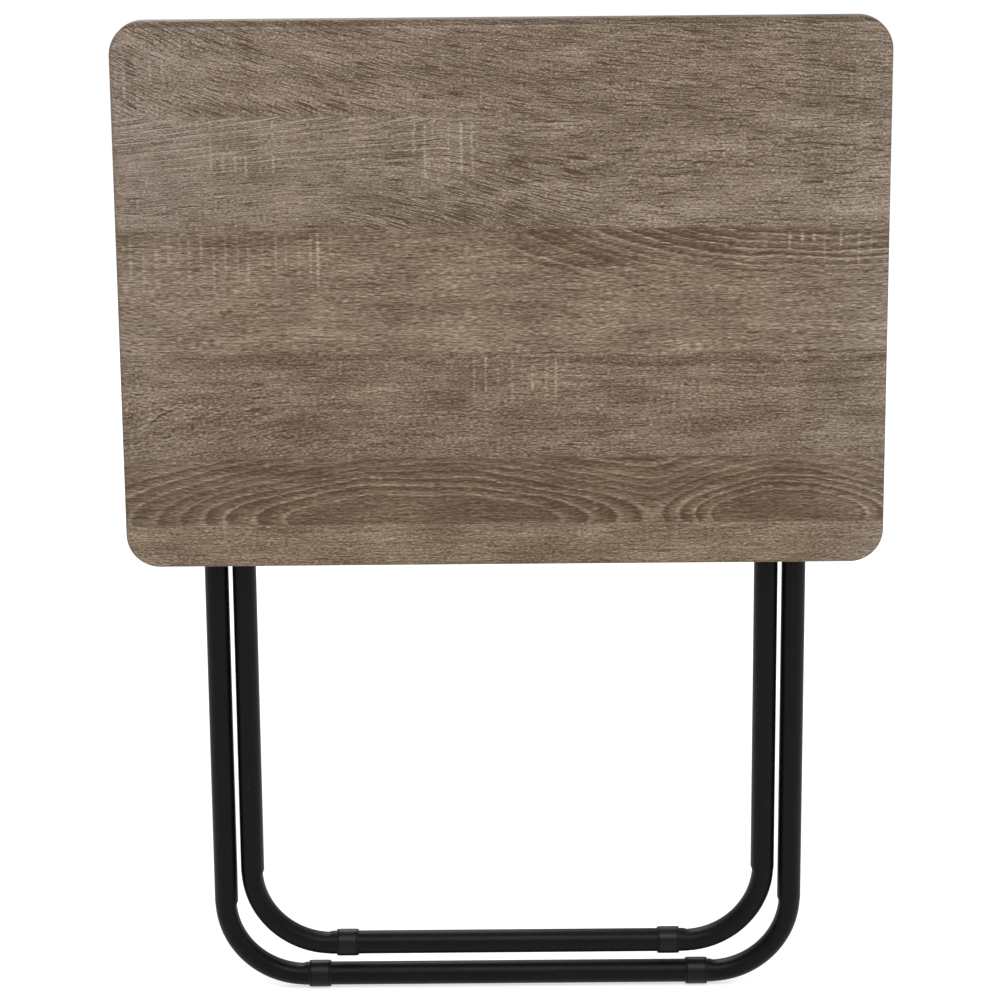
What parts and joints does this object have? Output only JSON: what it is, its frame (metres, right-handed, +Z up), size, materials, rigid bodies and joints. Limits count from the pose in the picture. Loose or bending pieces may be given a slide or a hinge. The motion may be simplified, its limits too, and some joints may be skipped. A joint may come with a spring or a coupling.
{
  "type": "folding tray table",
  "caption": "Folding tray table: rounded wood-effect top hinged to nested U-shaped steel tube legs that cross like scissors and lock under the top.",
  "frame": {"origin": "middle of the folded table's footprint, at the floor under the outer foot bar", "axes": "+X to the right along the hinge axis, +Y from the decorated face of the top towards the legs, +Z up along the folded legs"},
  "size_m": [0.5, 0.0404, 0.67],
  "materials": {
    "decor": "grey-brown wood-effect foil on fibreboard, matt",
    "powder_coat": "near-black satin powder coat",
    "black_plastic": "black moulded plastic, matt",
    "zinc_steel": "zinc-plated steel",
    "nylon": "natural nylon"
  },
  "bodies": {
    "outer_feet": {"outer_foot_left": "black_plastic", "outer_foot_right": "black_plastic"},
    "outer_frame": {"outer_leg_tube": "powder_coat", "outer_end_plug_left": "black_plastic", "outer_end_plug_right": "black_plastic", "pivot_rivet_left": "zinc_steel", "pivot_rivet_right": "zinc_steel"},
    "hinge_pins": {"hinge_pin_left": "zinc_steel", "hinge_pin_right": "zinc_steel"},
    "tabletop": {"tabletop_board": "decor", "hinge_bracket_left": "zinc_steel", "hinge_bracket_right": "zinc_steel", "bar_catch_left": "black_plastic", "bar_catch_right": "black_plastic", "bracket_screw_left_inner": "zinc_steel", "bracket_screw_left_outer": "zinc_steel", "bracket_screw_right_inner": "zinc_steel", "bracket_screw_right_outer": "zinc_steel", "catch_screw_left_inner": "zinc_steel", "catch_screw_left_outer": "zinc_steel", "catch_screw_right_inner": "zinc_steel", "catch_screw_right_outer": "zinc_steel"},
    "locking_bar": {"locking_bar": "powder_coat", "bar_insert_left": "black_plastic", "bar_insert_right": "black_plastic"},
    "inner_frame": {"inner_leg_tube": "powder_coat", "inner_end_plug_left": "black_plastic", "inner_end_plug_right": "black_plastic", "inner_foot_left": "black_plastic", "inner_foot_right": "black_plastic", "pivot_tail_left": "zinc_steel", "pivot_tail_right": "zinc_steel", "pivot_washer_left": "nylon", "pivot_washer_right": "nylon", "bar_bolt_left": "zinc_steel", "bar_bolt_right": "zinc_steel"}
  },
  "joints": [
    {"name": "leg_fold", "type": "hinge", "parent": "outer_feet", "child": "outer_frame", "pos_m": [0, 0.01085, 0.0093], "axis": [-1, 0, 0], "range_deg": [0, 30]},
    {"name": "hinge_turn", "type": "hinge", "parent": "outer_frame", "child": "hinge_pins", "pos_m": [0, 0.01085, 0.635], "axis": [-1, 0, 0], "range_deg": [0, 60]},
    {"name": "top_lift", "type": "hinge", "parent": "hinge_pins", "child": "tabletop", "pos_m": [0, 0.01085, 0.635], "axis": [-1, 0, 0], "range_deg": [0, 90]},
    {"name": "bar_travel", "type": "slide", "parent": "hinge_pins", "child": "locking_bar", "axis": [0, 0, -1], "range_m": [0, 0.23106]},
    {"name": "inner_fold", "type": "hinge", "parent": "locking_bar", "child": "inner_frame", "pos_m": [0, 0.01085, 0.6139], "axis": [1, 0, 0], "range_deg": [0, 111.35]}
  ],
  "couplings": [
    {"joint": "hinge_turn", "follows": "leg_fold", "ratio": 2},
    {"joint": "bar_travel", "follows": "leg_fold", "m_per_rad": 0.44128},
    {"joint": "inner_fold", "follows": "leg_fold", "ratio": 3.7117}
  ]
}
